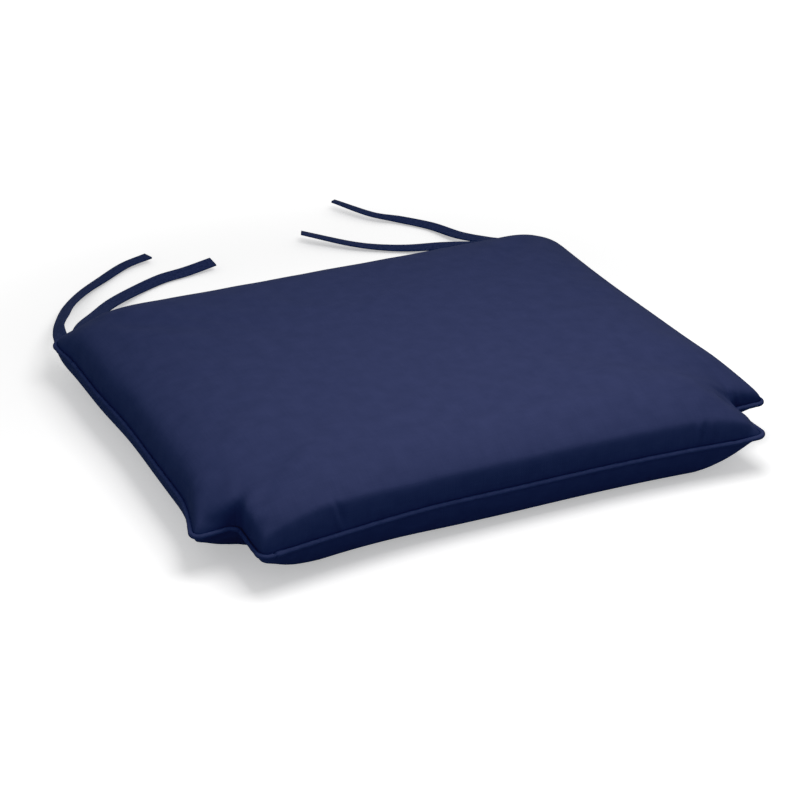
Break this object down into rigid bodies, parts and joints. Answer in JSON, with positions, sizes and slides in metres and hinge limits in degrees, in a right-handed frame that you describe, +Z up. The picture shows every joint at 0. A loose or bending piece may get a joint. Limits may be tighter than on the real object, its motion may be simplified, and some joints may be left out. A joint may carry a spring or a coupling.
{
  "type": "dining chair cushion",
  "caption": "Filled knife-edge seat cushion with a crowned top, welted seam, cut-out front corners for arm posts and flat tape ties at the back corners.",
  "frame": {"origin": "on the surface that the cushion rests on, below the middle of the welted seam's outline, the ties left out", "axes": "+X along the width, to the right as seen from the front, -Y towards the front edge with the cut-out corners, +Z up through the crown"},
  "size_m": [0.51, 0.6915, 0.081],
  "materials": {
    "cushion_canvas": "smooth navy woven canvas with a soft sheen",
    "welt_canvas": "the same navy canvas cut on the bias over a cord",
    "tie_tape": "flat folded and stitched navy canvas tape"
  },
  "bodies": {
    "root": {"cushion": "cushion_canvas", "welt": "welt_canvas", "tie_left_outer": "tie_tape", "tie_left_inner": "tie_tape", "tie_right_outer": "tie_tape", "tie_right_inner": "tie_tape"}
  },
  "joints": []
}
